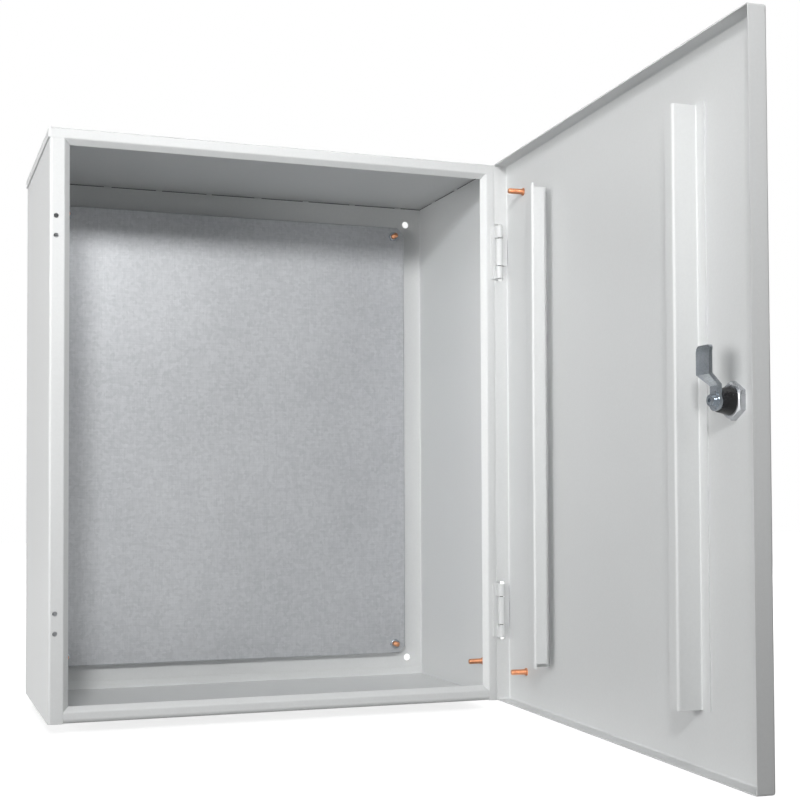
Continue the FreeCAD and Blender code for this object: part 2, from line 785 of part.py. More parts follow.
def build_door_panel():
    """Door pan with welded corners, a notch in the return at each hinge, and the lock hole."""
    body = new_body("door_panel")
    sketch = new_sketch(body, "XZ_Plane", "door_outline", "door_face")
    add_loop(sketch, rectangle("0 - door_far", "door_near", "0 - door_half", "door_half"))
    pad(body, sketch, "door_depth", back=True)

    near, far, half, face = size("door_near"), -size("door_far"), size("door_half"), -size("door_face")
    solid = body.Tip.Shape
    names = straight_edges(solid, Vector(0, 1, 0), lambda p: True)
    names += straight_edges(solid, Vector(0, 0, 1), lambda p: is_near(p.y, face) and is_near(p.x, near, far))
    names += straight_edges(solid, Vector(1, 0, 0), lambda p: is_near(p.y, face) and is_near(abs(p.z), half))
    round_named(body, names, "door_corner", "door_outer_bends")

    inside = new_sketch(body, "XZ_Plane", "door_inside", "0 - door_back")
    add_loop(inside, rectangle("sheet - door_far", "door_near - sheet", "sheet - door_half", "door_half - sheet"))
    pocket(body, inside, "door_depth - sheet", back=True)
    inner, wall = -size("door_inner"), size("sheet")
    solid = body.Tip.Shape
    names = straight_edges(solid, Vector(0, 1, 0), lambda p: p.x > far + wall / 2 and p.x < near - wall / 2
                           and is_near(abs(p.z), half - wall))
    names += straight_edges(solid, Vector(0, 0, 1), lambda p: is_near(p.y, inner) and is_near(p.x, near - wall, far + wall))
    names += straight_edges(solid, Vector(1, 0, 0), lambda p: is_near(p.y, inner) and is_near(abs(p.z), half - wall))
    round_named(body, names, "door_corner - sheet", "door_inner_bends")

    notches = new_sketch(body, "YZ_Plane", "door_notches", "door_near + 1")
    for level in ("", "0 - "):
        middle = level + "hinge_step / 2"
        add_loop(notches, rectangle("door_back - notch_depth", "door_back + 1",
                                    middle + " - notch_height / 2", middle + " + notch_height / 2"))
    pocket(body, notches, "2 + sheet")
    floor_y = size("door_back") - size("notch_depth")
    round_edges(body, Vector(1, 0, 0), lambda p: is_near(p.y, floor_y) and p.x > 0, "notch_corner", "door_notch_corners")

    hole = new_sketch(body, "XZ_Plane", "door_lock_hole", "door_face")
    add_circle(hole, "lock_x", "0", "lock_hole")
    pocket(body, hole, "4 * sheet", both=True)
    return node(body, "door_panel", door=True)


def rib_section(start, way):
    """Section of a door rib: base strip, web, top and a lip that stops short of the door."""
    low = "0 - door_inner"
    far = "(rib_base + rib_top)"
    points = [
        ("0", "0"),
        ("rib_base + sheet", "0", "bend"),
        ("rib_base + sheet", "rib_rise - sheet", "inner_bend"),
        (far + " - sheet", "rib_rise - sheet", "inner_bend"),
        (far + " - sheet", "rib_rise - rib_lip"),
        (far, "rib_rise - rib_lip"),
        (far, "rib_rise", "bend"),
        ("rib_base", "rib_rise", "bend"),
        ("rib_base", "sheet", "inner_bend"),
        ("0", "sheet"),
    ]
    return [("0 - %s %s (%s)" % (start, way, point[0]), "%s + %s" % (low, point[1])) + tuple(point[2:])
            for point in points]


def build_rib(name, start, way):
    """Folded stiffening rib on the inner face of the door; its lip is cut short at both ends."""
    body = new_body(name)
    section = rib_section(start, way)
    sketch = new_sketch(body, "XY_Plane", name + "_section")
    add_loop(sketch, section)
    pad(body, sketch, "rib_length", both=True)
    round_bends(body, sketch, section)

    lip = "0 - %s %s (rib_base + rib_top)" % (start, way)
    ends = new_sketch(body, "YZ_Plane", name + "_lip_ends", lip)
    low, high = "rib_rise - rib_lip - door_inner - 1", "rib_rise - door_inner - bend"
    for side in (("rib_length / 2 - rib_lip_cut", "rib_length / 2 + 1"),
                 ("0 - rib_length / 2 - 1", "0 - rib_length / 2 + rib_lip_cut")):
        add_loop(ends, rectangle(low, high, side[0], side[1]))
    pocket(body, ends, "4 * sheet", both=True)
    return node(body, name, door=True)


def build_door_studs():
    """Two earth studs on the inner face of the door, near its hinge side."""
    places = (
        ("upper_door_earth_stud", "half_height - upper_stud_end"),
        ("lower_door_earth_stud", "lower_stud_end - half_height"),
    )
    for name, level in places:
        piece = stud(name, "earth_size", "earth_length", ("0", "0", "0"), "y")
        node(piece, name, ("0 - door_stud_inset", "0 - door_inner", level), door=True)


# Quarter-turn lock; the local origin lies on the lock axis, level with the hinge axis

def place_lock(obj, name):
    return node(obj, name, ("lock_x", "0", "0"), door=True)


def build_lock_housing():
    """Flanged housing through the door, bored for the core and its head."""
    front = "0 - door_face - lock_head_thick"
    head = cylinder("housing_head", "lock_head", "lock_head_thick - 0.6", ("0", front + " + 0.6", "0"))
    edge = cone("housing_edge", "lock_head", "lock_head - 1.6", "0.6", ("0", front + " + 0.6", "0"), "-y")
    shank = cylinder("housing_shank", "lock_body", "sheet + lock_nut_thick", ("0", "0 - door_face", "0"))
    bore = cylinder("housing_bore", "core_size + 2 * core_fit", "40", ("0", "0 - door_face - 10", "0"))
    seat = cylinder("housing_seat", "core_head + 2 * core_fit", "core_head_thick + 1", ("0", front + " - 1", "0"))
    blank = fuse("housing_blank", [head, edge, shank])
    place_lock(cut("lock_housing", blank, fuse("housing_tools", [bore, seat])), "lock_housing")


def build_lock_nut():
    """Large thin nut that clamps the housing to the door, one corner up."""
    piece = hex_nut("lock_nut", "lock_nut_flats", "lock_nut_thick", "lock_body + 2 * thread_fit",
                    ("0", "0 - door_inner", "0"), "y", 30)
    place_lock(piece, "lock_nut")


def build_lock_sleeve():
    """Tapered sleeve behind the nut that carries the inner end of the core."""
    outside = cone("sleeve_outside", "sleeve_wide", "sleeve_narrow", "sleeve_length", ("0", "nut_end", "0"))
    bore = cylinder("sleeve_bore", "core_size + 2 * core_fit", "sleeve_length + 2", ("0", "nut_end - 1", "0"))
    place_lock(cut("lock_sleeve", outside, bore), "lock_sleeve")


def build_lock_core():
    """Turning core: headed shaft, keyway for a double-bit key, square drive and screw hole."""
    front = "0 - door_face - lock_head_thick + 0.1"
    head = cylinder("core_head", "core_head", "core_head_thick - 0.2", ("0", front, "0"))
    shaft = cylinder("core_shaft", "core_size", "cam_low - (%s)" % front, ("0", front, "0"))
    square = box("core_square", ("0 - drive_square / 2", "cam_low - 1", "0 - drive_square / 2"),
                 ("drive_square", "cam_thick + 0.9", "drive_square"))
    keyway = cylinder("core_keyway", "key_hole", "key_depth", ("0", front, "0"))
    slot = box("core_slot", ("0 - key_slot_width / 2", front, "0 - key_slot_length / 2"),
               ("key_slot_width", "key_depth", "key_slot_length"))
    pin = cylinder("core_pin", "key_pin", "key_depth + 1", ("0", front, "0"))
    thread = cylinder("core_thread", "cam_screw + 2 * thread_fit", "cam_screw_length + 1",
                      ("0", "cam_top + 1 + cam_washer_thick", "0"), "-y")
    opened = cut("core_opened", fuse("core_blank", [head, shaft, square]), fuse("core_keyhole", [keyway, slot, thread]))
    place_lock(fuse("lock_core", [opened, pin]), "lock_core")


def build_cam_lever():
    """Cranked lever: neck on the square, slanted step and a wider blade with a bent tip."""
    body = new_body("cam_lever")
    low, high = "cam_low", "cam_high"
    knee = "cam_thick / 3"
    section = [
        (low, "0 - cam_heel"),
        (low, "cam_bend_start"),
        (high, "cam_bend_end"),
        (high, "cam_reach - cam_tip"),
        (high + " - cam_tip_drop", "cam_reach"),
        (high + " + cam_thick - cam_tip_drop", "cam_reach"),
        (high + " + cam_thick", "cam_reach - cam_tip"),
        (high + " + cam_thick", "cam_bend_end - " + knee),
        (low + " + cam_thick", "cam_bend_start - " + knee),
        (low + " + cam_thick", "0 - cam_heel"),
    ]
    sketch = new_sketch(body, "YZ_Plane", "cam_section")
    add_loop(sketch, section)
    pad(body, sketch, "cam_blade", both=True)

    waist = [
        ("cam_heel", "0 - cam_heel - 1"),
        ("cam_blade", "0 - cam_heel - 1"),
        ("cam_blade", "cam_bend_end"),
        ("cam_blade / 2", "cam_bend_end"),
        ("cam_waist / 2", "cam_bend_start"),
        ("cam_waist / 2", "sqrt(cam_heel * cam_heel - cam_waist * cam_waist / 4)"),
        ("cam_heel", "0"),
    ]
    waists = new_sketch(body, "XZ_Plane", "cam_waist")
    add_loop(waists, waist)
    add_loop(waists, mirrored(waist))
    pocket(body, waists, "100", both=True)

    drive = new_sketch(body, "XZ_Plane", "cam_drive_hole")
    half = "drive_square / 2 + drive_fit"
    add_loop(drive, rectangle("0 - (%s)" % half, half, "0 - (%s)" % half, half))
    pocket(body, drive, "100", both=True)

    heel, reach = -size("cam_heel"), size("cam_reach")
    blade = size("cam_blade") / 2
    round_edges(body, Vector(0, 1, 0), lambda p: is_near(p.z, heel) and is_near(abs(p.x), -heel),
                "cam_heel - 0.1", "cam_heel_corners")
    round_edges(body, Vector(0, 1, 0), lambda p: is_near(p.z, reach) and is_near(abs(p.x), blade),
                "cam_tip_corner", "cam_tip_corners")
    place_lock(body, "cam_lever")


def build_cam_fixing():
    """Washer and socket-head screw that hold the lever on the core."""
    ring = cylinder("cam_ring", "cam_washer", "cam_washer_thick", ("0", "cam_top", "0"))
    bore = cylinder("cam_ring_bore", "cam_screw + 0.4", "cam_washer_thick + 2", ("0", "cam_top - 1", "0"))
    place_lock(cut("cam_washer", ring, bore), "cam_washer")
    seat = "cam_top + cam_washer_thick"
    head = cylinder("cam_screw_top", "cam_screw_head", "cam_screw_head_thick", ("0", seat, "0"))
    shank = cylinder("cam_screw_shank", "cam_screw", "cam_screw_length", ("0", seat, "0"), "-y")
    socket = doc.addObject("Part::Prism", "cam_screw_socket")
    socket.Polygon = 6
    bind(socket, Circumradius="cam_screw * 0.42", Height="cam_screw_head_thick")
    put(socket, ("0", seat + " + 1", "0"), ALONG["y"])
    place_lock(cut("cam_screw", fuse("cam_screw_blank", [head, shank]), socket), "cam_screw")


def build_all():
    fill_sheet()
    build_folded_shell()
    build_roof()
    build_floor()
    build_roof_tacks()
    build_mounting_plate()
    build_plate_fixings()
    build_body_earth_stud()
    for name, level in (("upper", "hinge_step / 2"), ("lower", "0 - hinge_step / 2")):
        build_body_leaf(name + "_hinge_body_leaf", level)
        build_door_leaf(name + "_hinge_door_leaf", level)
        build_hinge_pin(name + "_hinge_pin", level)
        build_hinge_screws(name + "_hinge_screws", level)
    build_door_panel()
    build_rib("lock_side_rib", "lock_rib_place", "+")
    build_rib("hinge_side_rib", "hinge_rib_place", "-")
    build_door_studs()
    build_lock_housing()
    build_lock_nut()
    build_lock_sleeve()
    build_lock_core()
    build_cam_lever()
    build_cam_fixing()
    doc.recompute()


def check_objects():
    """Stop when any object failed or any piece is not a sound solid."""
    for obj in doc.Objects:
        if "Invalid" in obj.State or "Error" in obj.State:
            raise ValueError("%s: %s" % (obj.Label, obj.State))
    for piece in nodes:
        shape = piece.Shape
        if shape.isNull() or not shape.isValid() or not shape.Solids:
            raise ValueError("bad shape: " + piece.Label)


def write_parts():
    """One STEP file for each named piece."""
    os.makedirs("parts", exist_ok=True)
    for piece in nodes:
        piece.Shape.exportStep("parts/%s.step" % piece.Label)
        bounds = piece.Shape.BoundBox
        print("%-24s solids %2d  X %7.1f %7.1f  Y %7.1f %7.1f  Z %7.1f %7.1f" % (
            piece.Label, len(piece.Shape.Solids), bounds.XMin, bounds.XMax,
            bounds.YMin, bounds.YMax, bounds.ZMin, bounds.ZMax))


build_all()
check_objects()
write_parts()
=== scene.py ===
# %% [markdown]
# # A folded-steel wall enclosure with its door open
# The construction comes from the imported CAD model, which is loaded as a fixed frame. This file adds
# what a camera sees on it: paint, zinc, copper, threads, weld beads, light and the point of view.
# All lengths are metres. X runs to the right, Y into the wall and Z up.

# %% Load the frame
import json
import math

import bpy
import numpy as np
from mathutils import Matrix, Vector


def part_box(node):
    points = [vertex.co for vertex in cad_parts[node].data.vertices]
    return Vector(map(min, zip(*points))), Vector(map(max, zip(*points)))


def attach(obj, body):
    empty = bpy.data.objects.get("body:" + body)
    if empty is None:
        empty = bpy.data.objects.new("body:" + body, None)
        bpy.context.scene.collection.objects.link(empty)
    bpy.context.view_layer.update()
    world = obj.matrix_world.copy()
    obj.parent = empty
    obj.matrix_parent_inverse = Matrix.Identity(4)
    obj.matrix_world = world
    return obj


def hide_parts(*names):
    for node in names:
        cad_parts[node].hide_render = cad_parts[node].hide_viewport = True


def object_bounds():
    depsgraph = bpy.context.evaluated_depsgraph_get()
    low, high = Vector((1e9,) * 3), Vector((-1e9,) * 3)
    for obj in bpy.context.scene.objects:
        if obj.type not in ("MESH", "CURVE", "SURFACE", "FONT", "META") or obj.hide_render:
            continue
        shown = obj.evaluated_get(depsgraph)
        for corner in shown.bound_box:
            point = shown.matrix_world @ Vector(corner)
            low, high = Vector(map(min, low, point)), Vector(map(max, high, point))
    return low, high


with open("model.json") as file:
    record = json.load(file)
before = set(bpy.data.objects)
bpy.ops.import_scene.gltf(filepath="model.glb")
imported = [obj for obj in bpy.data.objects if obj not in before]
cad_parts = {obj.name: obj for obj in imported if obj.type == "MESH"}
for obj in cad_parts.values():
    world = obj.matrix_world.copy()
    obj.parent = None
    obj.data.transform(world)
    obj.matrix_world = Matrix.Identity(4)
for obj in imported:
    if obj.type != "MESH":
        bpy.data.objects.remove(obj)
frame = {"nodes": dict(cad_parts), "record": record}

cad_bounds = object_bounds()
nodes = frame["nodes"]
print("frame nodes:", len(nodes), "bounds:", cad_bounds)

# %% [markdown]
# ## Point of view
# The camera was solved from 23 places measured in the photograph, so it is written as a place, a turn
# and a lens. It could be aimed with a Track To constraint, but a fixed matrix keeps the small roll.
# The shift moves the frame over the picture without turning the camera, which keeps uprights upright.

# %% Camera
CAMERA_PLACE = Vector((-0.3941, -1.55864, -0.07782))
CAMERA_YAW, CAMERA_PITCH, CAMERA_ROLL = (math.radians(a) for a in (18.603, 1.673, -0.147))
CAMERA_LENS, CAMERA_SHIFT = 58.757, (0.08214, 0.07836)


def camera_matrix(place, yaw, pitch, roll):
    """World matrix of a camera: forward is (sin yaw cos pitch, cos yaw cos pitch, sin pitch),
    right is level, up is their cross product, then right and up are turned by roll."""
    forward = Vector((math.sin(yaw) * math.cos(pitch), math.cos(yaw) * math.cos(pitch), math.sin(pitch)))
    level = Vector((math.cos(yaw), -math.sin(yaw), 0.0))
    upright = level.cross(forward)
    right = math.cos(roll) * level + math.sin(roll) * upright
    up = -math.sin(roll) * level + math.cos(roll) * upright
    matrix = Matrix((right, up, -forward)).transposed().to_4x4()
    matrix.translation = place
    return matrix


camera_data = bpy.data.cameras.new("photo_camera")
camera_data.lens = CAMERA_LENS
camera_data.sensor_width = 36.0
camera_data.shift_x, camera_data.shift_y = CAMERA_SHIFT
camera_data.clip_start = 0.01
camera = bpy.data.objects.new("photo_camera", camera_data)
camera.matrix_world = camera_matrix(CAMERA_PLACE, CAMERA_YAW, CAMERA_PITCH, CAMERA_ROLL)
bpy.context.scene.collection.objects.link(camera)
bpy.context.scene.camera = camera
print("camera at", tuple(round(v, 3) for v in CAMERA_PLACE), "lens", CAMERA_LENS)

# %% [markdown]
# ## Background
# A product photo has a white background that lights nothing. A bright world would flood the object
# with light, so the world is white only on the rays that show it: those of the camera, and those that
# a mirror or a glass sends on. All other rays meet a weak, even glow.

# %% World
WHITE = (1, 1, 1, 1)
WORLD_GLOW = 0.05
scene = bpy.context.scene
scene.view_settings.view_transform = "Standard"


def new_node(tree, kind, place=(0, 0), **sockets):
    """Add a shader node and set the sockets that are named."""
    made = tree.nodes.new(kind)
    made.location = place
    for name, value in sockets.items():
        made.inputs[name.replace("_", " ")].default_value = value
    return made


def new_math(tree, operation, place, second=None):
    """Add a Math node; `second` is its second value where nothing is linked to it."""
    made = new_node(tree, "ShaderNodeMath", place)
    made.operation = operation
    if second is not None:
        made.inputs[1].default_value = second
    return made


def background_mask(tree, place=(-600, 0)):
    """One where a ray shows the background: seen by the camera, in a mirror or through glass."""
    path = new_node(tree, "ShaderNodeLightPath", (place[0] - 400, place[1]))
    direct = new_math(tree, "MAXIMUM", (place[0] - 200, place[1]))
    seen = new_math(tree, "MAXIMUM", place)
    tree.links.new(path.outputs["Is Camera Ray"], direct.inputs[0])
    tree.links.new(path.outputs["Is Transmission Ray"], direct.inputs[1])
    tree.links.new(direct.outputs[0], seen.inputs[0])
    tree.links.new(path.outputs["Is Glossy Ray"], seen.inputs[1])
    return seen.outputs[0]


def build_world(strength):
    """World with an even glow of one strength on the object, and plain white as its background."""
    world = bpy.data.worlds.new("studio_world")
    world.use_nodes = True
    tree = world.node_tree
    tree.nodes.clear()
    soft = new_node(tree, "ShaderNodeBackground", (-400, -200), Color=WHITE, Strength=strength)
    white = new_node(tree, "ShaderNodeBackground", (-400, -350), Color=WHITE, Strength=1.0)
    mixed = new_node(tree, "ShaderNodeMixShader", (-150, 0))
    out = new_node(tree, "ShaderNodeOutputWorld", (50, 0))
    tree.links.new(background_mask(tree), mixed.inputs[0])
    tree.links.new(soft.outputs[0], mixed.inputs[1])
    tree.links.new(white.outputs[0], mixed.inputs[2])
    tree.links.new(mixed.outputs[0], out.inputs["Surface"])
    return world


scene.world = build_world(WORLD_GLOW)
print("world:", scene.world.name, "glow", WORLD_GLOW)

# %% [markdown]
# ## Lamps
# A side lamp far at the left throws the soft shadow of the cam lever on the door. A small front lamp
# above the camera draws the dark band that the roof leaves along the top of the mounting plate, and a
# weak accent lamp beside it gives the plate its highlight just below that band. A large fill lamp at
# the left and a weak top lamp lighten the rest. The strengths began with a fit to the photo's grey
# levels and were then changed. A back lamp serves the views of the rear and the right side,
# which the photo doesn't show. Point lamps would be simpler, but their shadows have hard edges.

# %% Softboxes
def softbox(name, place, target, size, power, spread=180):
    """Rectangular area lamp at `place` that looks at `target`; a grid narrows its `spread` in degrees."""
    data = bpy.data.lights.new(name, "AREA")
    data.shape = "RECTANGLE"
    data.size, data.size_y = size
    data.energy = power
    data.spread = math.radians(spread)
    lamp = bpy.data.objects.new(name, data)
    lamp.location = place
    lamp.rotation_euler = (Vector(target) - Vector(place)).to_track_quat("-Z", "Y").to_euler()
    scene.collection.objects.link(lamp)
    return lamp


lamps = [
    softbox("side_lamp", (-3.6, -0.75, 0.75), (0.15, -0.45, 0.0), size=(0.8, 0.8), power=29),
    softbox("fill_lamp", (-2.3, -1.6, 0.0), (0.2, -0.1, 0.0), size=(1.0, 1.0), power=30),
    softbox("front_lamp", (-0.65, -2.0, 0.74), (0.0, -0.15, 0.2), size=(0.25, 0.25), power=2.6, spread=57),
    softbox("accent_lamp", (0.03, -2.0, 0.71), (-0.12, -0.05, 0.18), size=(0.2, 0.2), power=0.24, spread=50),
    softbox("top_lamp", (-0.2, -1.15, 1.55), (0.0, -0.35, 0.0), size=(1.0, 0.6), power=6.0),
    softbox("back_lamp", (2.1, 1.9, 1.3), (0.0, -0.2, 0.0), size=(2.0, 2.0), power=70),
]
print("lamps:", [lamp.name for lamp in lamps])

# %% [markdown]
# ## Floor
# The object hangs clear in the picture on plain white. A pale floor just under it catches a weak shadow.
# To the camera it is matte with a glow that grows to full white away from the object, and to all other
# rays it is dim, so it throws little light up.

# %% Floor
FLOOR_GAP, FLOOR_REACH = 0.012, 6.0
FLOOR_LEVEL = cad_bounds[0][2] - FLOOR_GAP
FLOOR_SEEN, FLOOR_DIM = (0.55, 0.55, 0.55, 1), (0.28, 0.28, 0.28, 1)
GLOW_NEAR, GLOW_FAR = 0.80, 1.0
GLOW_START, GLOW_END = 0.5, 1.6


def floor_material():
    """Matte plus a glow on the rays that show the background; the glow rises smoothly from near to far."""
    material = bpy.data.materials.new("studio_floor")
    material.use_nodes = True
    tree = material.node_tree
    tree.nodes.clear()
    matte = new_node(tree, "ShaderNodeBsdfDiffuse", (-400, -100), Color=FLOOR_SEEN)
    dim = new_node(tree, "ShaderNodeBsdfDiffuse", (-400, 50), Color=FLOOR_DIM)
    glow = new_node(tree, "ShaderNodeEmission", (-400, -250), Color=WHITE)
    place = new_node(tree, "ShaderNodeTexCoord", (-1000, -350))
    distance = new_node(tree, "ShaderNodeVectorMath", (-800, -350))
    distance.operation = "LENGTH"
    fade = new_node(tree, "ShaderNodeMapRange", (-600, -350), From_Min=GLOW_START, From_Max=GLOW_END,
                    To_Min=GLOW_NEAR, To_Max=GLOW_FAR)
    fade.interpolation_type = "SMOOTHSTEP"
    both = new_node(tree, "ShaderNodeAddShader", (-200, -150))
    mixed = new_node(tree, "ShaderNodeMixShader", (0, 0))
    out = new_node(tree, "ShaderNodeOutputMaterial", (200, 0))
    tree.links.new(place.outputs["Object"], distance.inputs[0])
    tree.links.new(distance.outputs["Value"], fade.inputs["Value"])
    tree.links.new(fade.outputs["Result"], glow.inputs["Strength"])
    tree.links.new(matte.outputs[0], both.inputs[0])
    tree.links.new(glow.outputs[0], both.inputs[1])
    tree.links.new(background_mask(tree), mixed.inputs[0])
    tree.links.new(dim.outputs[0], mixed.inputs[1])
    tree.links.new(both.outputs[0], mixed.inputs[2])
    tree.links.new(mixed.outputs[0], out.inputs["Surface"])
    return material


def build_floor(level, reach):
    """Flat square floor at a level, `reach` metres to each side."""
    corners = [(-reach, -reach, level), (reach, -reach, level), (reach, reach, level), (-reach, reach, level)]
    mesh = bpy.data.meshes.new("studio_floor")
    mesh.from_pydata(corners, [], [(0, 1, 2, 3)])
    mesh.materials.append(floor_material())
    floor = bpy.data.objects.new("studio_floor", mesh)
    scene.collection.objects.link(floor)
    return floor


floor = build_floor(FLOOR_LEVEL, FLOOR_REACH)
print(floor.name, "at", round(FLOOR_LEVEL, 3))

# %% [markdown]
# ## Shared effects
# Paint, zinc and cast metal all vary in fine ways. Each effect is a node group with its own inputs, so
# that a material only states how coarse and how strong it is. The groups put out colours, masks and
# heights; the shader itself stays in the material, where the export can read it.

# %% Group helpers
def new_group(name, inputs, outputs):
    """Empty shader node group with named (kind, name, default) sockets."""
    group = bpy.data.node_groups.new(name, "ShaderNodeTree")
    for kind, label, default in inputs:
        socket = group.interface.new_socket(label, in_out="INPUT", socket_type=kind)
        socket.default_value = default
    for kind, label in outputs:
        group.interface.new_socket(label, in_out="OUTPUT", socket_type=kind)
    entry = new_node(group, "NodeGroupInput", (-900, 0))
    leave = new_node(group, "NodeGroupOutput", (600, 0))
    return group, entry, leave


def mix_colours(tree, place, blend="MIX"):
    """Mix node for colours: A is the lower layer, B the upper one."""
    mixer = new_node(tree, "ShaderNodeMix", place)
    mixer.data_type = "RGBA"
    mixer.blend_type = blend
    return mixer


print("ready: new_group and mix_colours")

# %% [markdown]
# ### Drift of tone
# No sheet is of one even colour: powder lies a little thicker here and there, and plating clouds. A
# picture could carry that, but a slow noise added to a fine one needs no picture and has no seam.

# %% Tone drift
BROAD_SHARE, FINE_SHARE = 0.65, 0.35


def build_tone_group():
    """Drift between two colours: 0.65 of a broad noise plus 0.35 of a fine one, stretched and clamped."""
    group, entry, leave = new_group(
        "tone_drift",
        [("NodeSocketVector", "Place", (0, 0, 0)), ("NodeSocketFloat", "Broad Scale", 6.0),
         ("NodeSocketFloat", "Fine Scale", 300.0), ("NodeSocketColor", "Light", WHITE),
         ("NodeSocketColor", "Dark", (0.8, 0.8, 0.8, 1))],
        [("NodeSocketColor", "Colour"), ("NodeSocketFloat", "Mask")])
    broad = new_node(group, "ShaderNodeTexNoise", (-600, 200), Detail=3.0, Roughness=0.55)
    fine = new_node(group, "ShaderNodeTexNoise", (-600, -100), Detail=2.0, Roughness=0.5)
    total = new_math(group, "MULTIPLY_ADD", (-350, 100), BROAD_SHARE)
    share = new_math(group, "MULTIPLY", (-350, -100), FINE_SHARE)
    spread = new_node(group, "ShaderNodeMapRange", (-150, 100), From_Min=0.35, From_Max=0.65)
    mixer = mix_colours(group, (200, 100))
    links = group.links
    links.new(entry.outputs["Place"], broad.inputs["Vector"])
    links.new(entry.outputs["Place"], fine.inputs["Vector"])
    links.new(entry.outputs["Broad Scale"], broad.inputs["Scale"])
    links.new(entry.outputs["Fine Scale"], fine.inputs["Scale"])
    links.new(fine.outputs[0], share.inputs[0])
    links.new(broad.outputs[0], total.inputs[0])
    links.new(share.outputs[0], total.inputs[2])
    links.new(total.outputs[0], spread.inputs["Value"])
    links.new(spread.outputs["Result"], mixer.inputs["Factor"])
    links.new(entry.outputs["Dark"], mixer.inputs["A"])
    links.new(entry.outputs["Light"], mixer.inputs["B"])
    links.new(mixer.outputs["Result"], leave.inputs["Colour"])
    links.new(spread.outputs["Result"], leave.inputs["Mask"])
    return group


tone_group = build_tone_group()
print("group:", tone_group.name)

# %% [markdown]
# ### Orange peel
# Powder melts and flows in the oven and keeps a soft, lumpy skin. Real lumps would need millions of
# faces, so two noises give only a height, which a Bump node in each material reads.

# %% Orange peel
GRIT_FINENESS, GRIT_SHARE = 3.1, 0.3


def build_orange_peel_group():
    """Height of sprayed and baked powder: soft lumps plus 0.3 of a grit 3.1 times as fine."""
    group, entry, leave = new_group(
        "orange_peel",
        [("NodeSocketVector", "Place", (0, 0, 0)), ("NodeSocketFloat", "Lumps", 520.0)],
        [("NodeSocketFloat", "Height")])
    finer = new_math(group, "MULTIPLY", (-600, -200), GRIT_FINENESS)
    lumps = new_node(group, "ShaderNodeTexNoise", (-350, 100), Detail=1.0, Roughness=0.4)
    grit = new_node(group, "ShaderNodeTexNoise", (-350, -200), Detail=1.0, Roughness=0.5)
    total = new_math(group, "MULTIPLY_ADD", (0, 0), GRIT_SHARE)
    links = group.links
    links.new(entry.outputs["Place"], lumps.inputs["Vector"])
    links.new(entry.outputs["Place"], grit.inputs["Vector"])
    links.new(entry.outputs["Lumps"], lumps.inputs["Scale"])
    links.new(entry.outputs["Lumps"], finer.inputs[0])
    links.new(finer.outputs[0], grit.inputs["Scale"])
    links.new(grit.outputs[0], total.inputs[0])
    links.new(lumps.outputs[0], total.inputs[2])
    links.new(total.outputs[0], leave.inputs["Height"])
    return group


peel_group = build_orange_peel_group()
print("group:", peel_group.name)

# %% [markdown]
# ### Zinc crystals
# Hot-dipped zinc freezes into flat crystals, and rolling leaves fine marks along and across the sheet.
# A Voronoi texture gives each crystal its own grey, and a noise whose coordinates are squeezed along
# one axis turns into streaks. A picture of real sheet would repeat itself over so large a plate.

# %% Zinc spangle
STREAK_SQUEEZE = 0.06


def build_spangle_group():
    """Zinc crystals and rolling marks: cells with their own grey, and the mean of streaks both ways."""
    group, entry, leave = new_group(
        "zinc_spangle",
        [("NodeSocketVector", "Place", (0, 0, 0)), ("NodeSocketFloat", "Crystals", 220.0),
         ("NodeSocketFloat", "Streaks", 900.0)],
        [("NodeSocketFloat", "Crystal"), ("NodeSocketFloat", "Streak")])
    cells = new_node(group, "ShaderNodeTexVoronoi", (-350, 250))
    spread = new_node(group, "ShaderNodeSeparateColor", (-100, 250))
    level = new_node(group, "ShaderNodeMapping", (-600, -50), Scale=(STREAK_SQUEEZE, 1.0, 1.0))
    upright = new_node(group, "ShaderNodeMapping", (-600, -350), Scale=(1.0, 1.0, STREAK_SQUEEZE))
    across = new_node(group, "ShaderNodeTexNoise", (-350, -50), Detail=2.0, Roughness=0.6)
    along = new_node(group, "ShaderNodeTexNoise", (-350, -350), Detail=2.0, Roughness=0.6)
    both = new_math(group, "ADD", (0, -150))
    half = new_math(group, "MULTIPLY", (200, -150), 0.5)
    links = group.links
    links.new(entry.outputs["Place"], cells.inputs["Vector"])
    links.new(entry.outputs["Crystals"], cells.inputs["Scale"])
    links.new(cells.outputs["Color"], spread.inputs[0])
    for mapping, noise in ((level, across), (upright, along)):
        links.new(entry.outputs["Place"], mapping.inputs["Vector"])
        links.new(mapping.outputs[0], noise.inputs["Vector"])
        links.new(entry.outputs["Streaks"], noise.inputs["Scale"])
    links.new(across.outputs[0], both.inputs[0])
    links.new(along.outputs[0], both.inputs[1])
    links.new(both.outputs[0], half.inputs[0])
    links.new(spread.outputs[0], leave.inputs["Crystal"])
    links.new(half.outputs[0], leave.inputs["Streak"])
    return group


spangle_group = build_spangle_group()
print("group:", spangle_group.name)

# %% [markdown]
# ## Finishes
# Each finish is one Principled shader, and what varies comes from the groups above. A single colour
# and roughness would do for a drawing, but under soft light it looks like plastic.

# %% Finish helpers
def place_group(tree, group, place, **values):
    """Put a node group into a material and set the inputs that are named."""
    made = tree.nodes.new("ShaderNodeGroup")
    made.node_tree = group
    made.location = place
    for name, value in values.items():
        made.inputs[name.replace("_", " ")].default_value = value
    return made


def new_finish(name, metallic, roughness):
    """Material with one Principled shader and Object coordinates ready to use."""
    material = bpy.data.materials.new(name)
    material.use_nodes = True
    tree = material.node_tree
    tree.nodes.clear()
    place = new_node(tree, "ShaderNodeTexCoord", (-1100, 0))
    shader = new_node(tree, "ShaderNodeBsdfPrincipled", (200, 0), Metallic=metallic, Roughness=roughness)
    out = new_node(tree, "ShaderNodeOutputMaterial", (500, 0))
    tree.links.new(shader.outputs[0], out.inputs["Surface"])
    return material, tree, place.outputs["Object"], shader


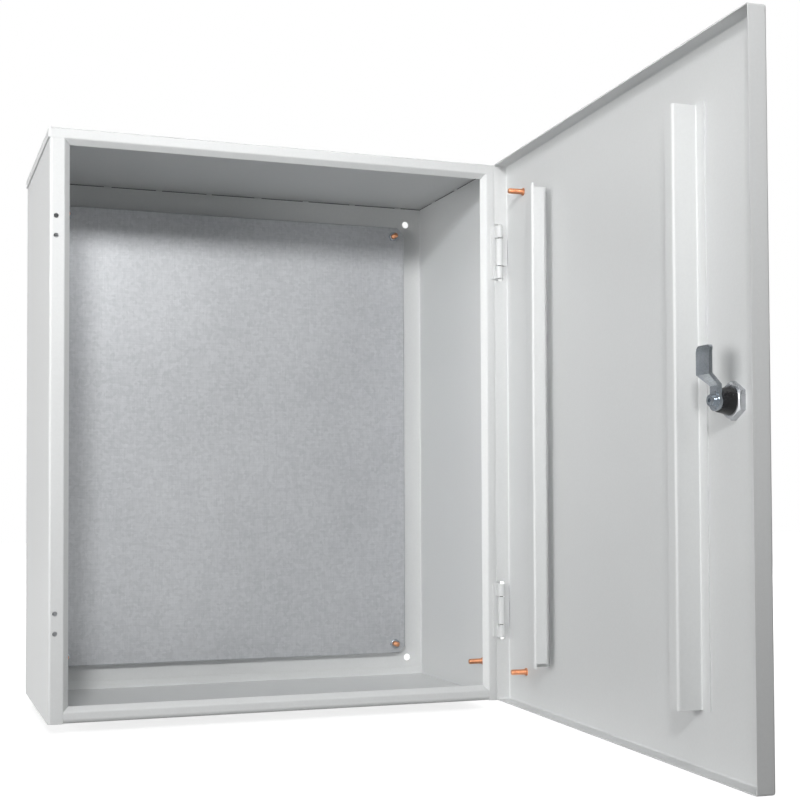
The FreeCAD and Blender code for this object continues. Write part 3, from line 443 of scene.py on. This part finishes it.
def add_bump(tree, shader, height, strength, distance):
    """Tilt the shader's normal by a height that spans `distance` metres."""
    bump = new_node(tree, "ShaderNodeBump", (0, -350), Strength=strength, Distance=distance)
    tree.links.new(height, bump.inputs["Height"])
    tree.links.new(bump.outputs[0], shader.inputs["Normal"])


def vary_roughness(tree, shader, mask, low, high):
    """Roughness between low and high where the mask goes from 0 to 1."""
    span = new_node(tree, "ShaderNodeMapRange", (-150, -150), To_Min=low, To_Max=high)
    tree.links.new(mask, span.inputs["Value"])
    tree.links.new(span.outputs["Result"], shader.inputs["Roughness"])


def drifting_skin(name, metallic, roughness, light, dark, rough, broad, fine, lumps, bump, depth):
    """Finish whose colour and roughness drift with the tone group and whose skin is orange peel."""
    material, tree, place, shader = new_finish(name, metallic, roughness)
    tone = place_group(tree, tone_group, (-600, 150),
                       Broad_Scale=broad, Fine_Scale=fine, Light=light, Dark=dark)
    peel = place_group(tree, peel_group, (-600, -250), Lumps=lumps)
    tree.links.new(place, tone.inputs["Place"])
    tree.links.new(place, peel.inputs["Place"])
    tree.links.new(tone.outputs["Colour"], shader.inputs["Base Color"])
    vary_roughness(tree, shader, tone.outputs["Mask"], *rough)
    add_bump(tree, shader, peel.outputs["Height"], bump, depth)
    return material


print("ready: new_finish and drifting_skin")

# %% [markdown]
# ### Paint, plating and moulding
# Shell and door are sprayed with a light grey powder, which bakes to a satin skin with a fine orange
# peel. Screws, nuts and the cam lever are bright zinc, the studs are copper-plated, the lock's nut and
# core are cast zinc, and its housing and sleeve are black moulded plastic. All are one recipe, a tone
# that drifts over a bumpy skin, with the scale of a wall for the paint and that of a screw for the rest.

# %% Painted and plated finishes
def powder_coat(name, light, dark):
    """Painted sheet: slow drift of tone, satin gloss and soft lumps of about two millimetres."""
    return drifting_skin(name, 0.0, 0.4, light, dark, rough=(0.36, 0.46), broad=3.0, fine=420.0,
                         lumps=520.0, bump=0.16, depth=0.0004)


def plated_metal(name, light, dark, rough, metallic=1.0, grit=900.0, bump=0.05):
    """Small hardware: the drift and the skin are both fine, and the gloss is that of the plating."""
    return drifting_skin(name, metallic, 0.3, light, dark, rough, broad=60.0, fine=grit,
                         lumps=grit, bump=bump, depth=0.0002)


finishes = {
    "light_grey_paint": powder_coat(
        "light_grey_powder", light=(0.69, 0.70, 0.70, 1), dark=(0.655, 0.665, 0.665, 1)),
    "zinc_coated_steel": plated_metal(
        "bright_zinc", light=(0.52, 0.55, 0.58, 1), dark=(0.34, 0.37, 0.40, 1), rough=(0.14, 0.28)),
    # Near-black steel for the hinge pins: painted shade of the notches at their ends.
    "painted_pin_shade": plated_metal(
        "painted_pin_shade", light=(0.12, 0.12, 0.125, 1), dark=(0.06, 0.06, 0.065, 1), rough=(0.32, 0.45)),
    "cast_zinc": plated_metal(
        "cast_zinc", light=(0.58, 0.59, 0.61, 1), dark=(0.42, 0.43, 0.45, 1), rough=(0.22, 0.40),
        bump=0.12),
    "copper_plating": plated_metal(
        "copper_plating", light=(0.80, 0.40, 0.23, 1), dark=(0.56, 0.25, 0.13, 1), rough=(0.26, 0.42)),
    "lock_black": plated_metal(
        "black_moulding", light=(0.014, 0.014, 0.015, 1), dark=(0.007, 0.007, 0.008, 1),
        rough=(0.24, 0.38), metallic=0.0, grit=700.0, bump=0.10),
}
print("finishes:", list(finishes))

# %% [markdown]
# ### Galvanised sheet
# The mounting plate is bare galvanised sheet, whose crystals and rolling marks spread its reflections.
# A full metal would mirror the white background and come out too bright, so it is only partly metallic.

# %% Galvanised finish
GRAIN_STRENGTH, CRYSTAL_STRENGTH = 0.40, 0.12


def galvanised_sheet():
    """Drift of tone, soft-lit first by the rolling streaks and then by each crystal's own grey."""
    material, tree, place, shader = new_finish("galvanised_sheet", 0.3, 0.32)
    spangle = place_group(tree, spangle_group, (-850, 0), Crystals=260.0, Streaks=700.0)
    tone = place_group(tree, tone_group, (-600, 300), Broad_Scale=5.0, Fine_Scale=900.0,
                       Light=(0.495, 0.506, 0.524, 1), Dark=(0.432, 0.443, 0.460, 1))
    grain = mix_colours(tree, (-250, 300), "SOFT_LIGHT")
    grain.inputs["Factor"].default_value = GRAIN_STRENGTH
    crystal = mix_colours(tree, (-50, 300), "SOFT_LIGHT")
    crystal.inputs["Factor"].default_value = CRYSTAL_STRENGTH
    tree.links.new(place, spangle.inputs["Place"])
    tree.links.new(place, tone.inputs["Place"])
    tree.links.new(tone.outputs["Colour"], grain.inputs["A"])
    tree.links.new(spangle.outputs["Streak"], grain.inputs["B"])
    tree.links.new(grain.outputs["Result"], crystal.inputs["A"])
    tree.links.new(spangle.outputs["Crystal"], crystal.inputs["B"])
    tree.links.new(crystal.outputs["Result"], shader.inputs["Base Color"])
    vary_roughness(tree, shader, spangle.outputs["Streak"], 0.26, 0.44)
    add_bump(tree, shader, spangle.outputs["Streak"], 0.12, 0.0003)
    return material


finishes["galvanised_sheet"] = galvanised_sheet()
print("finish:", finishes["galvanised_sheet"].name)

# %% [markdown]
# ### Dressing the frame
# Each CAD piece gets the finish that its record names. The two hinge pins are the exception: they get a
# near-black steel that paints the shade of the hinge notches at their ends, although their slot is bright
# zinc.

# %% Dress the CAD nodes
slot_of = {entry["node"]: entry["material_slot"] for entry in frame["record"]["subparts"]}


def dress(piece, slot):
    """Give a piece one finish, whatever slots it came with."""
    piece.data.materials.clear()
    piece.data.materials.append(finishes[slot])


for name, piece in nodes.items():
    # The hinge pins take the near-black steel that paints the shade of their notches.
    dress(piece, "painted_pin_shade" if name.endswith("hinge_pin") else slot_of[name])
print("dressed nodes:", len(nodes))

# %% [markdown]
# ## Threads on the studs
# The earth studs and the plate's studs are threaded rods, welded on and plated with copper. A thread
# could be cut with the Screw modifier, but a surface of two parameters is shorter and closed at the tip.
# Angle and height fill a grid, and the radius falls into a groove wherever the helix passes.

# %% Threaded rod
STUD_RADIUS, THREAD_PITCH = 0.003, 0.001
COLLAR_RADIUS, COLLAR_HEIGHT = 0.0042, 0.0008
GROOVE_DEPTH, GROOVE_POWER = 0.54, 1.3
TIP_TAPER, TIP_SLOPE = 0.0008, 0.9


def mesh_from_grid(name, points):
    """Closed mesh from points[row, column]: quads between rows, columns joined round, a face per end."""
    rows, columns = points.shape[:2]
    index = np.arange(rows * columns).reshape(rows, columns)
    right = np.roll(index, -1, axis=1)
    quads = np.stack([index[:-1], right[:-1], right[1:], index[1:]], axis=-1).reshape(-1, 4)
    faces = quads.tolist() + [index[0, ::-1].tolist(), index[-1].tolist()]
    mesh = bpy.data.meshes.new(name)
    mesh.from_pydata(points.reshape(-1, 3).tolist(), [], faces)
    mesh.polygons.foreach_set("use_smooth", np.ones(len(mesh.polygons), bool))
    mesh.update()
    return mesh


def rod_points(length, plain, root, direction, around=44, per_turn=9):
    """Rod along a direction: the radius is a collar, a plain neck, then the full radius less a groove
    0.54 pitch deep whose phase is height / pitch minus angle / turn, and a short taper at the tip."""
    rows = int(length / THREAD_PITCH * per_turn)
    threaded = np.linspace(COLLAR_HEIGHT, length, rows)
    height = np.concatenate([[0, COLLAR_HEIGHT, COLLAR_HEIGHT], threaded])
    angle = np.linspace(0, 2 * np.pi, around, endpoint=False)
    h, a = np.meshgrid(height, angle, indexing="ij")
    phase = np.mod(h / THREAD_PITCH - a / (2 * np.pi), 1.0)
    groove = GROOVE_DEPTH * THREAD_PITCH * (1 - np.abs(2 * phase - 1)) ** GROOVE_POWER
    cut = np.clip((h - plain) / THREAD_PITCH, 0, 1)
    taper = STUD_RADIUS - TIP_TAPER + (length - h) * TIP_SLOPE
    r = np.minimum(STUD_RADIUS - cut * groove, taper)
    r[:2] = COLLAR_RADIUS
    side = Vector(direction).orthogonal().normalized()
    other = Vector(direction).cross(side)
    axis, side, other = (np.array(v) for v in (Vector(direction), side, other))
    return (np.array(root) + h[..., None] * axis
            + (r * np.cos(a))[..., None] * side + (r * np.sin(a))[..., None] * other)


print("thread: radius", STUD_RADIUS, "pitch", THREAD_PITCH)

# %% [markdown]
# ### Adding a piece
# A new piece has to follow its body when a joint moves, and the CAD solid under it has to give way.
# Parenting in Blender would do the first only, so the frame's own functions say both.

# %% Piece helpers
def add_piece(name, mesh, body, slot, replaced=()):
    """Link a mesh as a piece that rides on a body, takes a finish and may stand for CAD nodes."""
    piece = bpy.data.objects.new(name, mesh)
    scene.collection.objects.link(piece)
    dress(piece, slot)
    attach(piece, body)
    if replaced:
        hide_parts(*replaced)
    return piece


def join_meshes(name, meshes):
    """One mesh out of several, vertices and faces appended in order."""
    points, faces, start = [], [], 0
    for mesh in meshes:
        co = np.zeros(len(mesh.vertices) * 3)
        mesh.vertices.foreach_get("co", co)
        points.append(co.reshape(-1, 3))
        faces += [[start + v for v in polygon.vertices] for polygon in mesh.polygons]
        start += len(mesh.vertices)
    joined = bpy.data.meshes.new(name)
    joined.from_pydata(np.concatenate(points).tolist(), [], faces)
    joined.polygons.foreach_set("use_smooth", np.ones(len(joined.polygons), bool))
    joined.update()
    return joined


print("ready: add_piece and join_meshes")

# %% [markdown]
# ### Earth studs and plate studs
# One earth stud is on the right wall and two are on the door, near its hinge side. Their places are
# those of the CAD solids. The door stands open, so its studs are placed in the door's own frame and
# turned with it about the hinge.

# %% Studs
DOOR_TURN = math.radians(87)
HINGE_AXIS = np.array([0.246, -0.2385, 0.0])
EARTH_LENGTH, EARTH_NECK = 0.0175, 0.0022
PLATE_STUD_LENGTH, PLATE_STUD_NECK = 0.0254, 0.012
PLATE_STUD_X, PLATE_STUD_Z = 0.205, 0.258
BACK_INNER_FACE = -0.0012


def on_door(x, y, z):
    """Point of the door's own frame, millimetres, placed on the open door in metres."""
    c, s = math.cos(DOOR_TURN), math.sin(DOOR_TURN)
    return HINGE_AXIS + np.array([x * c - y * s, x * s + y * c, z]) / 1000


door_out = (-math.sin(DOOR_TURN), math.cos(DOOR_TURN), 0.0)
earth_places = {
    "body_earth_stud": ("cabinet", (0.2475, -0.186, -0.262), (-1, 0, 0)),
    "upper_door_earth_stud": ("door", on_door(-43, -10.3, 259), door_out),
    "lower_door_earth_stud": ("door", on_door(-43, -10.3, -263), door_out),
}
for name, (body, root, direction) in earth_places.items():
    points = rod_points(EARTH_LENGTH, EARTH_NECK, root, direction)
    add_piece("threaded_" + name, mesh_from_grid("threaded_" + name, points), body, "copper_plating", [name])

plate_rods = [
    mesh_from_grid("plate_rod", rod_points(PLATE_STUD_LENGTH, PLATE_STUD_NECK,
                                           (x, BACK_INNER_FACE, z), (0, -1, 0)))
    for x in (-PLATE_STUD_X, PLATE_STUD_X) for z in (-PLATE_STUD_Z, PLATE_STUD_Z)
]
add_piece("threaded_plate_studs", join_meshes("threaded_plate_studs", plate_rods), "cabinet",
          "copper_plating", ["plate_studs"])
print("threaded pieces:", len(earth_places) + 1)

# %% [markdown]
# ## Weld beads
# Short tack welds hold the roof to the edges of back and sides. Under paint a tack is a soft lump, a
# little longer than wide. A sphere could be scaled to that, but a superellipsoid is as easy to write
# and has the blunter ends of a weld. The beads along the back lean a little, as hand welds do.

# %% Tack welds
BEAD_LENGTH, BEAD_WIDTH, BEAD_HEIGHT = 0.0045, 0.0011, 0.0009
BACK_BEADS, BACK_SPACING, BACK_Y = 8, 0.062, -0.0012
SIDE_BEADS, SIDE_START, SIDE_SPACING, SIDE_X = 3, -0.0465, 0.0695, 0.2476


def bead_points(centre, half, lean, rows=9, columns=18):
    """Superellipsoid: sign(c) * |c| ** 0.7 of the usual sphere's cosines and sines, scaled per axis."""
    v = np.linspace(-np.pi / 2, np.pi / 2, rows)[:, None]
    u = np.linspace(0, 2 * np.pi, columns, endpoint=False)[None, :]

    def soft(value):
        return np.sign(value) * np.abs(value) ** 0.7

    x = soft(np.cos(v)) * soft(np.cos(u)) * half[0]
    y = soft(np.cos(v)) * soft(np.sin(u)) * half[1]
    z = soft(np.sin(v)) * np.ones_like(u) * half[2] + lean * x
    return np.stack([x, y, z], axis=-1) + np.array(centre)


low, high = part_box("roof_tack_welds")
seam_level = (low.z + high.z) / 2
tack_rng = np.random.default_rng(7)
beads = []
for number in range(BACK_BEADS):
    x = (number - (BACK_BEADS - 1) / 2) * BACK_SPACING
    half = (BEAD_LENGTH * tack_rng.uniform(0.75, 1.1), BEAD_WIDTH, BEAD_HEIGHT)
    lean = tack_rng.uniform(-0.04, 0.04)
    beads.append(mesh_from_grid("bead", bead_points((x, BACK_Y, seam_level), half, lean)))
for side in (-1, 1):
    for number in range(SIDE_BEADS):
        y = SIDE_START - number * SIDE_SPACING
        half = (BEAD_WIDTH, BEAD_LENGTH * tack_rng.uniform(0.75, 1.1), BEAD_HEIGHT)
        beads.append(mesh_from_grid("bead", bead_points((side * SIDE_X, y, seam_level), half, 0.0)))
add_piece("tack_weld_beads", join_meshes("tack_weld_beads", beads), "cabinet",
          "light_grey_paint", ["roof_tack_welds"])
print("beads:", len(beads))

# %% [markdown]
# ## Painted shade in the seam under the roof
# The roof lies a millimetre above the edges of back and sides. The shade in the seam between the tacks
# is painted: near-black bars stand in the gap, so no light comes through it. Each run is a plain bar inside
# the wall's thickness. A tube swept along the seam would look no different, because only a thin dark line of
# it shows.

# %% Painted seam shade
SEAM_WIDTH, SEAM_CLEARANCE = 0.0005, 0.0001
BACK_RUN_REACH, BACK_RUN_Y = 0.2482, -0.0007
SIDE_RUN_X, SIDE_RUN_FRONT, SIDE_RUN_BACK = 0.2478, -0.2285, -0.0009


def bar_mesh(name, low, high):
    """Box from its low to its high corner, all faces turned outwards."""
    (x0, y0, z0), (x1, y1, z1) = low, high
    points = [(x, y, z) for z in (z0, z1) for y in (y0, y1) for x in (x0, x1)]
    faces = [(0, 2, 3, 1), (4, 5, 7, 6), (0, 1, 5, 4), (1, 3, 7, 5), (3, 2, 6, 7), (2, 0, 4, 6)]
    mesh = bpy.data.meshes.new(name)
    mesh.from_pydata(points, [], faces)
    return mesh


seam_low, seam_high = low.z + SEAM_CLEARANCE, high.z - SEAM_CLEARANCE
runs = [((-BACK_RUN_REACH, BACK_RUN_Y, seam_low), (BACK_RUN_REACH, BACK_RUN_Y + SEAM_WIDTH, seam_high))]
runs += [((x, SIDE_RUN_FRONT, seam_low), (x + SEAM_WIDTH, SIDE_RUN_BACK, seam_high))
         for x in (SIDE_RUN_X, -SIDE_RUN_X - SEAM_WIDTH)]
seam = join_meshes("roof_seam_painted_shade", [bar_mesh("seam_run", *run) for run in runs])
seam.polygons.foreach_set("use_smooth", np.zeros(len(seam.polygons), bool))
# The black bars are painted shade of the seam gap, not a sealant.
add_piece("roof_seam_painted_shade", seam, "cabinet", "lock_black")
print("seam runs:", len(runs))

# %% [markdown]
# ## Sizes
# The size of the CAD frame and that of the dressed part are written side by side, because every piece
# that is added here should stay within the real object's size.

# %% Sizes and finish
def plain(bounds):
    """Bounds as plain lists of numbers."""
    return [[float(v) for v in corner] for corner in bounds]
